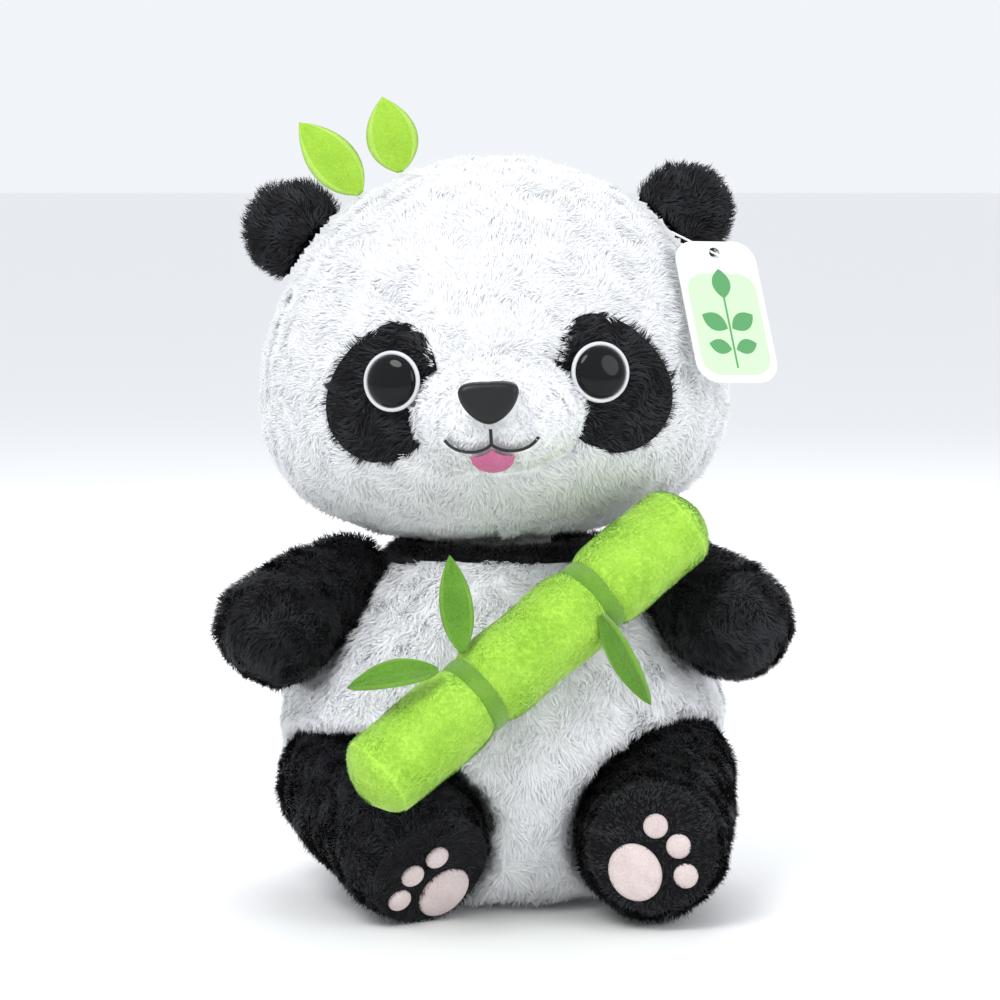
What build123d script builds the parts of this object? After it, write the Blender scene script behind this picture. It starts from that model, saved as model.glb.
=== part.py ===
"""Seated plush panda with a bamboo cane, in millimetres.

+Z is up, the face looks along -Y, and the origin is on the table under the seat.
Right and left are the panda's own: its right side is at -X.
"""

import os
from math import cos, radians, sin, sqrt

from build123d import *

# Fabric, and the small gaps that keep sewn pieces apart
skin = 2.2              # plush backing with its pile pressed flat
fill_gap = 1.2          # between a skin and the fibre inside it
seam_gap = 0.4          # between two panels of one body
flex_gap = 1.2          # between bodies that move against each other

# Head: a turned bun, fuller below its widest level, squeezed from front to back
head_centre = Vector(-3, -5, 200)
head_roll = 2.5         # degrees, its left side is higher
head_yaw = 2.0          # degrees, its nose is turned to its right
head_size = (96.5, 98.5, 59)        # half width, up, down
head_fullness = (0.55, 0.68)        # 0.55 is an ellipse, more is squarer
squeeze = 0.86                      # depth for width

# Neck: a ball of fibre that the head nods and turns on
neck_centre = Vector(-1, -6, 138)
neck_radius = 23
dish_radius = 208       # the hollow under the head, with room for its nod
dish_bottom = 136

# Torso: a pear with a flat seat
torso_centre = Vector(0, -8, 66)
torso_size = (93.5, 99, 66)
torso_fullness = (0.33, 0.60)
seat_radius = 52
yoke_radius = 250       # the black yoke starts outside this cylinder, which lies along Y
yoke_drop = -112        # height of that cylinder's axis

# Limbs: a ball at the seam and a ball at the paw, joined by a taper
arm_radii = (18, 25.5)
leg_radii = (30, 31)
shoulders = {"right": Vector(-64, -21, 127.5), "left": Vector(65, -21, 132)}
paws = {"right": Vector(-90, -52, 111), "left": Vector(92, -52, 113)}
hips = {"right": Vector(-62, -40, 45), "left": Vector(66, -40, 47)}
feet = {"right": Vector(-36, -88, 30.5), "left": Vector(59, -90, 31)}
arm_travel = 25
leg_travel = 20
arm_room = (19.6, 37.5)   # the hollows a limb moves in, measured along the middle of its travel
leg_room = (31.4, 43)

# Soles and pads
sole_faces = {"right": Vector(0.46, -0.76, -0.44), "left": Vector(-0.05, -0.98, 0.10)}
toe_ways = {"right": Vector(-0.76, 0, 0.65), "left": Vector(0.85, 0, 0.52)}
sole_depth = 17         # from the middle of the foot ball to its flat face
sole_radius = 24.5
sole_thickness = 1.6
pad_thickness = 1.2
main_pad = (11.5, 10.0)
toe_radius = 4.4
toe_reach = 19.5
pad_shift = {"right": (-5, -3), "left": (4.5, -1)}
toe_fan = 35            # degrees between neighbouring toes

# Face
face_shift = 4          # the eyes and muzzle sit this far to its left
eye_step = 1.5           # the head curves away, so its left eye is further back than its right
eye_place = (40, -78.0, 12.6)
eye_turn = 20           # degrees outward
eye_rise = 5            # degrees up
lens_radius = 10.0
lens_rise = 3.6
ring_tube = 0.85
stem_radius = 2.0
stem_length = 13
washer_radius = 7
washer_thickness = 1.5
patch_thickness = 1.5
patch_half = (20, 28)
patch_tilt = 24
muzzle_size = (36, 25.5)            # half width, half height
muzzle_place = (face_shift, -73, -1)
nose_base = (2, -106.2, 5.5)
nose_height = 6.5
thread_width = 1.3
thread_lift = 0.9

# Ears, leaves, tail
ear_place = (80, 8, 70.6)
ear_size = (22, 9)      # radius, half thickness
ear_gap = 2.2
felt = 2.6
tail_centre = Vector(0, 97.4, 39)
tail_radius = 14

# Bamboo cane: three stuffed joints with a dark band at each waist
cane_low = Vector(-52, -137, 61.5)
cane_high = Vector(74, -73, 158)
cane_radius = 17
waist_radius = 14
waist_shares = (0.33, 0.685)
band_width = 8
band_thickness = 1.2
tack_share = 0.43       # where the cane is tacked to the belly

# Hang tag
tag_hole = Vector(85, -35, 259)
tag_foot = Vector(95, -60, 204)
tag_width = 36
tag_length = 61
tag_thickness = 0.8
tag_turn = 25           # degrees, its right edge is further back
pin_radius = 0.45

sides = {"right": -1, "left": 1}
head_plane = Plane(Location(head_centre, (0, -head_roll, -head_yaw)))


def on_head(x, y, z):
    """The world point of head coordinates."""
    return head_plane.from_local_coords(Vector(x, y, z))


def head_way(x, y, z):
    """The world direction of a direction in head coordinates."""
    return on_head(x, y, z) - head_centre


def write(name, solid):
    """Labels a finished piece and writes it as its own file."""
    solid.label = name
    export_step(solid, f"parts/{name}.step")
    print(f"{name:22s} {len(solid.solids())} solid(s) {solid.volume / 1000:9.2f} cm3")


def bun(half_width, up, down, fullness, flat_radius=0.0):
    """A rounded solid turned about Z, widest at the origin."""
    top, low = fullness
    low_reach = flat_radius + low * (half_width - flat_radius)
    with BuildPart() as solid:
        with BuildSketch(Plane.XZ):
            with BuildLine():
                Bezier((0, up), (top * half_width, up), (half_width, top * up), (half_width, 0))
                Bezier((half_width, 0), (half_width, -low * down), (low_reach, -down), (flat_radius, -down))
                if flat_radius:
                    Line((flat_radius, -down), (0, -down))
                Line((0, -down), (0, up))
            make_face()
        revolve(axis=Axis.Z)
    return solid.part


def head_bun(grow=0.0):
    """The head before it is squeezed, larger all round by grow."""
    a, up, down = head_size
    return bun(a + grow, up + grow, down + grow, head_fullness)


def torso_bun(grow=0.0):
    """The torso about its own middle, larger by grow but never below its seat."""
    a, up, down = torso_size
    return bun(a + grow, up + grow, down + min(grow, 0), torso_fullness, seat_radius)


def egg(radius, half_length, axis):
    """An egg turned about the X, Y or Z axis through the origin."""
    sketch_plane = {"X": Plane.YX, "Y": Plane.XY, "Z": Plane.XZ}[axis]
    turning_axis = {"X": Axis.X, "Y": Axis.Y, "Z": Axis.Z}[axis]
    with BuildPart() as solid:
        with BuildSketch(sketch_plane):
            Ellipse(radius, half_length)
            split(bisect_by=Plane.YZ)
        revolve(axis=turning_axis)
    return solid.part


def limb(radii, length, grow=0.0):
    """A ball at the origin and one at Z = length, joined by the cone that touches both."""
    root = radii[0] + grow
    tip = radii[1] + grow
    lean = (root - tip) / length
    side = sqrt(1 - lean * lean)
    slant = sqrt(0.5)
    with BuildPart() as solid:
        with BuildSketch(Plane.XZ):
            with BuildLine():
                ThreePointArc((0, -root), (root * slant, -root * slant), (root * side, root * lean))
                Line((root * side, root * lean), (tip * side, length + tip * lean))
                ThreePointArc(
                    (tip * side, length + tip * lean),
                    (tip * slant, length + tip * slant),
                    (0, length + tip),
                )
                Line((0, length + tip), (0, -root))
            make_face()
        revolve(axis=Axis.Z)
    return solid.part


def limb_place(start, end, turn=(0, 0, 0)):
    """Where a limb lies after a turn about its seam ball."""
    rest = Plane(origin=start, z_dir=end - start).location
    return Location(start, turn) * Location(start).inverse() * rest


def leaf(length, half_width, thickness, square_base=0.0):
    """A pointed leaf from the origin along Y, with its thickness centred on its plane."""
    wide = 1.3 * half_width
    with BuildPart() as solid:
        with BuildSketch():
            with BuildLine():
                Bezier((square_base, 0), (wide, 0.25 * length), (wide, 0.65 * length), (0, length))
                Bezier((0, length), (-wide, 0.65 * length), (-wide, 0.25 * length), (-square_base, 0))
                if square_base:
                    Line((-square_base, 0), (square_base, 0))
            make_face()
        extrude(amount=thickness / 2, both=True)
    return solid.part


def leaf_plane(base, tip, face):
    """The plane of a leaf: Y runs from its base to its tip and Z out of the side named by face."""
    run = tip - base
    across = run.cross(face)
    return Plane(origin=base, x_dir=across, z_dir=across.cross(run))


os.makedirs("parts", exist_ok=True)

arm_lengths = {side: (paws[side] - shoulders[side]).length for side in sides}
leg_lengths = {side: (feet[side] - hips[side]).length for side in sides}
arm_places = {side: limb_place(shoulders[side], paws[side]) for side in sides}
leg_places = {side: limb_place(hips[side], feet[side]) for side in sides}
arm_middles = {
    side: limb_place(shoulders[side], paws[side], (0, -s * arm_travel / 2, 0)) for side, s in sides.items()
}
leg_middles = {
    side: limb_place(hips[side], feet[side], (0, 0, s * leg_travel / 2)) for side, s in sides.items()
}
torso_place = Location(torso_centre)
head_place = head_plane.location
dish_centre = (head_centre.X, head_centre.Y, dish_bottom + dish_radius)


def cut_openings(more=0.0):
    """Takes the dish under the head, the neck hole and the hollows of the limbs from the open part."""
    with Locations(dish_centre):
        Sphere(dish_radius + more, mode=Mode.SUBTRACT)
    with Locations(neck_centre):
        Sphere(neck_radius + flex_gap + more, mode=Mode.SUBTRACT)
    for side in sides:
        with Locations(arm_middles[side]):
            add(limb(arm_room, arm_lengths[side], more), mode=Mode.SUBTRACT)
        with Locations(leg_middles[side]):
            add(limb(leg_room, leg_lengths[side], more), mode=Mode.SUBTRACT)


# ---- Torso -------------------------------------------------------------------------------

with BuildPart() as torso_shell:
    with Locations(torso_place):
        add(torso_bun())
        add(torso_bun(-skin), mode=Mode.SUBTRACT)
    with Locations((0, torso_centre.Y, 0)):
        Cylinder(seat_radius + seam_gap, 3 * skin, mode=Mode.SUBTRACT)
    cut_openings()

yoke_cutters = {}
for colour, change in (("white", -seam_gap / 2), ("black", seam_gap / 2)):
    with BuildPart(Plane.XZ) as cutter:
        with Locations((0, yoke_drop)):
            Cylinder(yoke_radius + change, 400)
    yoke_cutters[colour] = cutter.part

halves = {"front": (seam_gap / 2, Keep.TOP), "back": (-seam_gap / 2, Keep.BOTTOM)}
for name, half in (("belly_panel", "front"), ("back_panel", "back")):
    shift, keep = halves[half]
    with BuildPart() as panel:
        add(torso_shell.part)
        add(yoke_cutters["white"], mode=Mode.INTERSECT)
        split(bisect_by=Plane.XZ.offset(shift - torso_centre.Y), keep=keep)
    write(name, panel.part)
for name, half in (("yoke_front", "front"), ("yoke_back", "back")):
    shift, keep = halves[half]
    with BuildPart() as yoke:
        add(torso_shell.part)
        add(yoke_cutters["black"], mode=Mode.SUBTRACT)
        split(bisect_by=Plane.XZ.offset(shift - torso_centre.Y), keep=keep)
    write(name, yoke.part)

with BuildPart() as base_panel:
    with Locations((0, torso_centre.Y, 0)):
        Cylinder(seat_radius - 1, skin, align=(Align.CENTER, Align.CENTER, Align.MIN))
    fillet(base_panel.edges().sort_by(Axis.Z)[-1], radius=0.8)
write("base_panel", base_panel.part)

bag_radius = 42
bag_height = 14
with BuildPart() as pellet_bag:
    with Locations((0, torso_centre.Y, 5)):
        Cylinder(bag_radius, bag_height, align=(Align.CENTER, Align.CENTER, Align.MIN))
    fillet(pellet_bag.edges().filter_by(GeomType.CIRCLE), radius=5.5)
write("pellet_bag", pellet_bag.part)

with BuildPart() as torso_stuffing:
    with Locations(torso_place):
        add(torso_bun(-skin - fill_gap))
    cut_openings(fill_gap)
    with Locations((0, torso_centre.Y, 0)):
        Cylinder(bag_radius + 1.5, 2 * (bag_height + 6), mode=Mode.SUBTRACT)
write("torso_stuffing", torso_stuffing.part)

with BuildPart() as tail:
    with Locations(tail_centre):
        Sphere(tail_radius)
write("tail", tail.part)

# The care label stands out of the back seam, low on the panda's left
label_plane = Plane(origin=(46, 80, 26), x_dir=(0.85, -0.5, 0), z_dir=(0.35, 0.6, -0.9))
with BuildPart(label_plane) as care_label:
    Box(18, 24, 0.5)
    fillet(care_label.edges().filter_by(Axis(label_plane.origin, label_plane.z_dir)), radius=1.5)
write("care_label", care_label.part)

# ---- Arms and legs -----------------------------------------------------------------------

for side in sides:
    with BuildPart() as arm_skin:
        with Locations(arm_places[side]):
            add(limb(arm_radii, arm_lengths[side]))
            add(limb(arm_radii, arm_lengths[side], -skin), mode=Mode.SUBTRACT)
    write(f"arm_skin_{side}", arm_skin.part)
    with BuildPart() as arm_stuffing:
        with Locations(arm_places[side]):
            add(limb(arm_radii, arm_lengths[side], -skin - fill_gap))
    write(f"arm_stuffing_{side}", arm_stuffing.part)

    face = sole_faces[side].normalized()
    sole_plane = Plane(
        origin=feet[side] + face * sole_depth,
        x_dir=toe_ways[side].cross(face),
        z_dir=face,
    )
    inside = leg_places[side] * limb(leg_radii, leg_lengths[side], -skin)
    with BuildPart() as leg_skin:
        with Locations(leg_places[side]):
            add(limb(leg_radii, leg_lengths[side]))
        split(bisect_by=Plane.XY)
        split(bisect_by=sole_plane, keep=Keep.BOTTOM)
        add(inside, mode=Mode.SUBTRACT)
    write(f"leg_skin_{side}", leg_skin.part)
    with BuildPart() as leg_stuffing:
        with Locations(leg_places[side]):
            add(limb(leg_radii, leg_lengths[side], -skin - fill_gap))
        split(bisect_by=Plane.XY.offset(skin + fill_gap))
        split(bisect_by=sole_plane.offset(-skin - fill_gap), keep=Keep.BOTTOM)
    write(f"leg_stuffing_{side}", leg_stuffing.part)

    with BuildPart(sole_plane.offset(0.1)) as sole:
        Cylinder(sole_radius, sole_thickness, align=(Align.CENTER, Align.CENTER, Align.MIN))
        fillet(sole.edges(), radius=0.6)
    write(f"sole_{side}", sole.part)
    pad_plane = sole_plane.offset(0.1 + sole_thickness + 0.1)
    with BuildPart() as main_pad_solid:
        with BuildSketch(pad_plane):
            with Locations((pad_shift[side][0], pad_shift[side][1] - 0.5 * toe_reach)):
                Ellipse(*main_pad)
        extrude(amount=pad_thickness)
    write(f"main_pad_{side}", main_pad_solid.part)
    toes = {"inner": -1, "middle": 0, "outer": 1}
    for toe, count in toes.items():
        around = radians(toe_fan * count * sides[side])
        with BuildPart() as toe_pad:
            with BuildSketch(pad_plane):
                across = pad_shift[side][0] + toe_reach * sin(around)
                along = pad_shift[side][1] + toe_reach * (cos(around) - 0.5)
                with Locations((across, along)):
                    Circle(toe_radius)
            extrude(amount=pad_thickness)
        write(f"toe_pad_{toe}_{side}", toe_pad.part)

# ---- Neck and head -----------------------------------------------------------------------

with BuildPart() as neck_stuffing:
    with Locations(neck_centre):
        Sphere(neck_radius)
write("neck_stuffing", neck_stuffing.part)

# The head's cloth is shaped before the squeeze, so depths there are divided by it
neck_local = head_plane.to_local_coords(neck_centre)
neck_hole = (neck_local.X, neck_local.Y / squeeze, neck_local.Z)
muzzle_middle = (muzzle_place[0], muzzle_place[1] / squeeze, muzzle_place[2])
eye_ways = {
    side: Vector(s * sin(radians(eye_turn)), -cos(radians(eye_turn)), sin(radians(eye_rise)))
    for side, s in sides.items()
}
eye_wells = {}
for side, s in sides.items():
    way = eye_ways[side]
    eye_wells[side] = Plane(
        origin=(face_shift + s * eye_place[0], (eye_place[1] + s * eye_step) / squeeze, eye_place[2]),
        z_dir=(way.X, way.Y / squeeze, way.Z),
    )


def squeezed(solid):
    """The finished cloth of the head, squeezed and put in its place."""
    return head_place * scale(solid, by=(1, squeeze, 1))


def muzzle_egg(grow=0.0):
    """The muzzle about its own middle."""
    return egg(muzzle_size[0] + grow, muzzle_size[1] + grow, "Z")


with BuildPart() as head_shell:
    add(head_bun())
    add(head_bun(-skin), mode=Mode.SUBTRACT)
    with Locations(neck_hole):
        add(egg(neck_radius + flex_gap, (neck_radius + flex_gap) / squeeze, "Y"), mode=Mode.SUBTRACT)
    for side in sides:
        with Locations(eye_wells[side]):
            Cylinder(stem_radius + 0.6, 30, mode=Mode.SUBTRACT)
for side, s in sides.items():
    with BuildPart() as head_panel:
        add(head_shell.part)
        split(bisect_by=Plane.YZ.offset(s * seam_gap / 2), keep=Keep.TOP if s > 0 else Keep.BOTTOM)
    write(f"head_panel_{side}", squeezed(head_panel.part))

with BuildPart() as head_stuffing:
    add(head_bun(-skin - fill_gap))
    with Locations(neck_hole):
        add(
            egg(neck_radius + flex_gap + fill_gap, (neck_radius + flex_gap + fill_gap) / squeeze, "Y"),
            mode=Mode.SUBTRACT,
        )
    for side in sides:
        with Locations(eye_wells[side]):
            Cylinder(washer_radius + 1.2, 2 * (stem_length + 6), mode=Mode.SUBTRACT)
write("head_stuffing", squeezed(head_stuffing.part))

for side, s in sides.items():
    with BuildPart() as eye_patch:
        with BuildSketch(Plane.XZ):
            with Locations(Location((face_shift + s * 44, 8, 0), (0, 0, s * patch_tilt))):
                Ellipse(*patch_half)
        extrude(amount=200)
        add(head_bun(seam_gap + patch_thickness), mode=Mode.INTERSECT)
        add(head_bun(seam_gap), mode=Mode.SUBTRACT)
        with Locations(muzzle_middle):
            add(muzzle_egg(seam_gap), mode=Mode.SUBTRACT)
        with Locations(eye_wells[side]):
            Cylinder(stem_radius + 0.6, 30, mode=Mode.SUBTRACT)
    write(f"eye_patch_{side}", squeezed(eye_patch.part))

nose_local = Plane(origin=(nose_base[0], nose_base[1] / squeeze, nose_base[2]), z_dir=(0, -1, 0))
with BuildPart() as muzzle_panel:
    with Locations(muzzle_middle):
        add(muzzle_egg())
        add(muzzle_egg(-skin), mode=Mode.SUBTRACT)
    add(head_bun(seam_gap), mode=Mode.SUBTRACT)
    with Locations(nose_local):
        Cylinder(stem_radius + 0.6, 30, mode=Mode.SUBTRACT)
    for side in sides:
        with Locations(eye_wells[side]):
            Cylinder(lens_radius + 2 * ring_tube + 1.4, 30, mode=Mode.SUBTRACT)
write("muzzle_panel", squeezed(muzzle_panel.part))

with BuildPart() as muzzle_stuffing:
    with Locations(muzzle_middle):
        add(muzzle_egg(-skin - fill_gap))
    add(head_bun(seam_gap + fill_gap), mode=Mode.SUBTRACT)
    with Locations(nose_local):
        Cylinder(washer_radius + 1.2, 2 * (stem_length + 6), mode=Mode.SUBTRACT)
write("muzzle_stuffing", squeezed(muzzle_stuffing.part))

# The mouth is one line of thread: down from the nose, then out to both corners
muzzle_front = Plane(origin=(nose_base[0], muzzle_middle[1], 0), x_dir=(1, 0, 0), z_dir=(0, -1, 0))
with BuildPart() as mouth_thread:
    with BuildSketch(muzzle_front):
        with BuildLine():
            Line((0, -5.5), (0, -11.5))
            Bezier((0, -11.5), (4, -15.5), (14, -16), (18, -9.5))
            Bezier((0, -11.5), (-4, -15.5), (-14, -16), (-18, -9.5))
        trace(line_width=thread_width)
    extrude(amount=200)
    with Locations(muzzle_middle):
        add(muzzle_egg(thread_lift), mode=Mode.INTERSECT)
        add(muzzle_egg(0.2), mode=Mode.SUBTRACT)
write("mouth_thread", squeezed(mouth_thread.part))

with BuildPart() as tongue:
    with BuildSketch(muzzle_front):
        with BuildLine():
            Bezier((-8.5, -16.2), (-8.5, -26), (8.5, -26), (8.5, -16.2))
            Bezier((8.5, -16.2), (3.5, -17.2), (1.2, -14.6), (0, -13.6))
            Bezier((0, -13.6), (-1.2, -14.6), (-3.5, -17.2), (-8.5, -16.2))
        make_face()
    extrude(amount=200)
    with Locations(muzzle_middle):
        add(muzzle_egg(thread_lift), mode=Mode.INTERSECT)
        add(muzzle_egg(0.2), mode=Mode.SUBTRACT)
write("tongue", squeezed(tongue.part))

for side, s in sides.items():
    middle = (s * ear_place[0], ear_place[1] / squeeze, ear_place[2])
    radius, half = ear_size
    with BuildPart() as ear:
        with Locations(middle):
            add(egg(radius, half / squeeze, "Y"))
        add(head_bun(ear_gap), mode=Mode.SUBTRACT)
    write(f"ear_{side}", squeezed(ear.part))

# ---- Eyes and nose -----------------------------------------------------------------------

for side, s in sides.items():
    way = eye_ways[side]
    eye_plane = Plane(
        origin=on_head(face_shift + s * eye_place[0], eye_place[1] + s * eye_step, eye_place[2]),
        z_dir=head_way(way.X, way.Y, way.Z),
    )
    with BuildPart(eye_plane) as eye_stud:
        Cylinder(lens_radius, 1.4, align=(Align.CENTER, Align.CENTER, Align.MIN))
        Cylinder(stem_radius, stem_length, align=(Align.CENTER, Align.CENTER, Align.MAX))
    write(f"eye_stud_{side}", eye_stud.part)
    with BuildPart(eye_plane) as eye_ring:
        with Locations((0, 0, 0.9)):
            Torus(lens_radius + ring_tube + 0.15, ring_tube)
    write(f"eye_ring_{side}", eye_ring.part)
    with BuildPart() as eye_lens:
        with BuildSketch(Plane.XZ):
            with BuildLine():
                Bezier(
                    (lens_radius, 0),
                    (lens_radius, 0.55 * lens_rise),
                    (0.55 * lens_radius, lens_rise),
                    (0, lens_rise),
                )
                Line((0, lens_rise), (0, 0))
                Line((0, 0), (lens_radius, 0))
            make_face()
        revolve(axis=Axis.Z)
    write(f"eye_lens_{side}", eye_plane.offset(1.5).location * eye_lens.part)
    with BuildPart(eye_plane.offset(-10.5)) as eye_washer:
        Cylinder(washer_radius, washer_thickness)
        Cylinder(stem_radius + 0.1, washer_thickness, mode=Mode.SUBTRACT)
    write(f"eye_washer_{side}", eye_washer.part)

nose_plane = Plane(origin=on_head(*nose_base), x_dir=head_way(1, 0, 0), z_dir=head_way(0, -1, 0))
nose_back = nose_plane.offset(0.8)
with BuildPart() as nose:
    with BuildSketch(nose_back):
        with BuildLine():
            Bezier((0, 7.4), (8, 7.8), (11.6, 7), (11.5, 3.2))
            Bezier((11.5, 3.2), (11, -2.5), (4.5, -8.6), (0, -8.6))
            Bezier((0, -8.6), (-4.5, -8.6), (-11, -2.5), (-11.5, 3.2))
            Bezier((-11.5, 3.2), (-11.6, 7), (-8, 7.8), (0, 7.4))
        make_face()
    extrude(amount=nose_height)
    fillet(nose.faces().sort_by(Axis.Y)[0].edges(), radius=2.6)
    with Locations(nose_back.offset(1)):
        Cylinder(stem_radius, stem_length + 1, align=(Align.CENTER, Align.CENTER, Align.MAX))
write("nose", nose.part)
with BuildPart(nose_plane.offset(-10.5)) as nose_washer:
    Cylinder(washer_radius, washer_thickness)
    Cylinder(stem_radius + 0.1, washer_thickness, mode=Mode.SUBTRACT)
write("nose_washer", nose_washer.part)

# ---- Leaves on the head ------------------------------------------------------------------

sprouts = {
    "tall": ((-35, 5, 92.8), (-41, 6, 124.0), 11, (0.15, -1, 0.05)),
    "side": ((-51.5, 5, 84.8), (-75.5, 4, 115.0), 10.5, (0.15, -1, 0.2)),
}
for name, (base, tip, half_width, face) in sprouts.items():
    base_point = on_head(*base)
    tip_point = on_head(*tip)
    with BuildPart(leaf_plane(base_point, tip_point, Vector(face))) as sprout:
        add(leaf((tip_point - base_point).length, half_width, felt, 3))
    write(f"sprout_{name}", sprout.part)

# ---- Bamboo cane -------------------------------------------------------------------------

cane_way = (cane_high - cane_low).normalized()
cane_length = (cane_high - cane_low).length
cane_plane = Plane(origin=cane_low, x_dir=(0, -1, 0), z_dir=cane_way)
waists = [share * cane_length for share in waist_shares]


def cane_solid(grow=0.0, end_trim=0.0):
    """The cane along Z with its waists, its ends rounded over."""
    wide = cane_radius + grow
    narrow = waist_radius + grow
    start = end_trim
    end = cane_length - end_trim
    round_over = 9
    marks = [start + round_over, waists[0], waists[1], end - round_over]
    with BuildPart() as solid:
        with BuildSketch(Plane.XZ):
            with BuildLine():
                Line((0, start), (wide - round_over, start))
                Bezier(
                    (wide - round_over, start),
                    (wide - 0.45 * round_over, start),
                    (wide, start + 0.45 * round_over),
                    (wide, marks[0]),
                )
                Bezier((wide, marks[0]), (wide, waists[0] - 6), (narrow, waists[0] - 4), (narrow, waists[0]))
                belly = (waists[0] + waists[1]) / 2
                Bezier((narrow, waists[0]), (narrow, waists[0] + 4), (wide, waists[0] + 6), (wide, belly))
                Bezier((wide, belly), (wide, waists[1] - 6), (narrow, waists[1] - 4), (narrow, waists[1]))
                Bezier((narrow, waists[1]), (narrow, waists[1] + 4), (wide, waists[1] + 6), (wide, marks[3]))
                Bezier(
                    (wide, marks[3]),
                    (wide, end - 0.45 * round_over),
                    (wide - 0.45 * round_over, end),
                    (wide - round_over, end),
                )
                Line((wide - round_over, end), (0, end))
                Line((0, end), (0, start))
            make_face()
        revolve(axis=Axis.Z)
    return solid.part


with BuildPart(cane_plane) as cane_skin:
    add(cane_solid())
    add(cane_solid(-skin, skin), mode=Mode.SUBTRACT)
write("cane_skin", cane_skin.part)
with BuildPart(cane_plane) as cane_stuffing:
    add(cane_solid(-skin - fill_gap, skin + fill_gap))
write("cane_stuffing", cane_stuffing.part)

for name, level in zip(("low", "high"), waists):
    with BuildPart() as band:
        with Locations((0, 0, level)):
            Cylinder(waist_radius + band_thickness + 0.6, band_width)
        fillet(band.edges(), radius=1.0)
        add(cane_solid(0.3), mode=Mode.SUBTRACT)
    write(f"cane_band_{name}", cane_plane.location * band.part)

cane_leaves = {
    "up": (Vector(-15, -121, 110.5), Vector(-20, -109, 146.5), 6.5, Vector(0, -1, 0.2)),
    "side": (Vector(-24, -131, 105.5), Vector(-58, -136, 99.5), 6, Vector(0.2, -0.75, 0.65)),
    "hang": (Vector(38, -112, 124), Vector(57, -111, 89), 6, Vector(-0.6, -0.8, 0)),
}
for name, (base, tip, half_width, face) in cane_leaves.items():
    with BuildPart(leaf_plane(base, tip, face)) as cane_leaf:
        add(leaf((tip - base).length, half_width, felt, 1.5))
    write(f"cane_leaf_{name}", cane_leaf.part)

# ---- Hang tag ----------------------------------------------------------------------------

tag_way = (tag_hole - tag_foot).normalized()
tag_turned = radians(tag_turn)
tag_face = tag_way.cross(Vector(cos(tag_turned), sin(tag_turned), 0)) * -1
tag_plane = Plane(origin=tag_hole, x_dir=tag_way.cross(tag_face), z_dir=tag_face)
with BuildPart() as tag_card:
    with BuildSketch(tag_plane):
        with Locations((0, 5 - tag_length / 2)):
            RectangleRounded(tag_width, tag_length, 9)
        Circle(2.6, mode=Mode.SUBTRACT)
    extrude(amount=tag_thickness / 2, both=True)
write("tag_card", tag_card.part)

pin_start = on_head(75, -15, 64)
pin_way = (tag_hole - pin_start).normalized()
pin_end = tag_hole + pin_way * 3
with BuildPart(Plane(origin=pin_start, z_dir=pin_way)) as tag_pin:
    Cylinder(pin_radius, (pin_end - pin_start).length, align=(Align.CENTER, Align.CENTER, Align.MIN))
write("tag_pin", tag_pin.part)
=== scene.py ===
import math

import bmesh
import bpy
import numpy as np
from mathutils import Matrix, Vector


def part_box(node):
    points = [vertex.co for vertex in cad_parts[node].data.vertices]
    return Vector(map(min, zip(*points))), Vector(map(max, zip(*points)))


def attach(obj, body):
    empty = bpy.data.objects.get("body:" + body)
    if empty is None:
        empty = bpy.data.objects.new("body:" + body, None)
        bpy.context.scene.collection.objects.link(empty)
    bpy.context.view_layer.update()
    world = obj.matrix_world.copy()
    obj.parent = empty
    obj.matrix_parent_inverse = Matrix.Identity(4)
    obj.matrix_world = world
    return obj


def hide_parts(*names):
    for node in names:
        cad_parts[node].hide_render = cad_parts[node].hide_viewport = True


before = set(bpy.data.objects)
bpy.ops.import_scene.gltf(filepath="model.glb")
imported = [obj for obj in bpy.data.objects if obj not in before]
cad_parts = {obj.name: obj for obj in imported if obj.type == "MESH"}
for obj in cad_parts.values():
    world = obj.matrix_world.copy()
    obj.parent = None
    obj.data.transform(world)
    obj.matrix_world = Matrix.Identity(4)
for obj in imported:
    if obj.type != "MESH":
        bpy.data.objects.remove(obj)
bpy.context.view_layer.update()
print("frame loaded")


# camera, floor and light

def softLamp(name, place, aim, size, power):
    data = bpy.data.lights.new(name, "AREA")
    data.shape = "DISK"
    data.size = size
    data.energy = power
    lamp = bpy.data.objects.new(name, data)
    bpy.context.collection.objects.link(lamp)
    lamp.location = place
    lamp.rotation_euler = (Vector(aim) - Vector(place)).to_track_quat("-Z", "Y").to_euler()
    return lamp


stand = {"lens": 112.8, "sensor": 36, "place": (-0.0008, -1.2929, 0.2919), "tilt": 84}

cameraData = bpy.data.cameras.new("camera")
cameraData.lens = stand["lens"]
cameraData.sensor_width = stand["sensor"]
camera = bpy.data.objects.new("camera", cameraData)
bpy.context.collection.objects.link(camera)
camera.location = stand["place"]
camera.rotation_euler = (math.radians(stand["tilt"]), 0, 0)
bpy.context.scene.camera = camera

studio = {
    "room": (0.93, 0.96, 1.0),
    "roomStrength": 0.95,
    "lamps": {
        "key": {"place": (-0.7, -1.1, 1.5), "aim": (0, 0, 0.15), "size": 0.9, "power": 17},
        "fill": {"place": (1.2, -0.9, 0.7), "aim": (0, 0, 0.15), "size": 1.0, "power": 6},
        "back": {"place": (0.2, 1.1, 1.3), "aim": (0, 0, 0.2), "size": 0.9, "power": 8},
    },
}
world = bpy.data.worlds.new("room")
world.use_nodes = True
air = world.node_tree.nodes["Background"]
air.inputs["Color"].default_value = (*studio["room"], 1)
air.inputs["Strength"].default_value = studio["roomStrength"]
bpy.context.scene.world = world
bpy.context.scene.view_settings.view_transform = "Standard"

for name, lamp in studio["lamps"].items():
    softLamp(name, **lamp)
print("camera and light")


# materials

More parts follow.
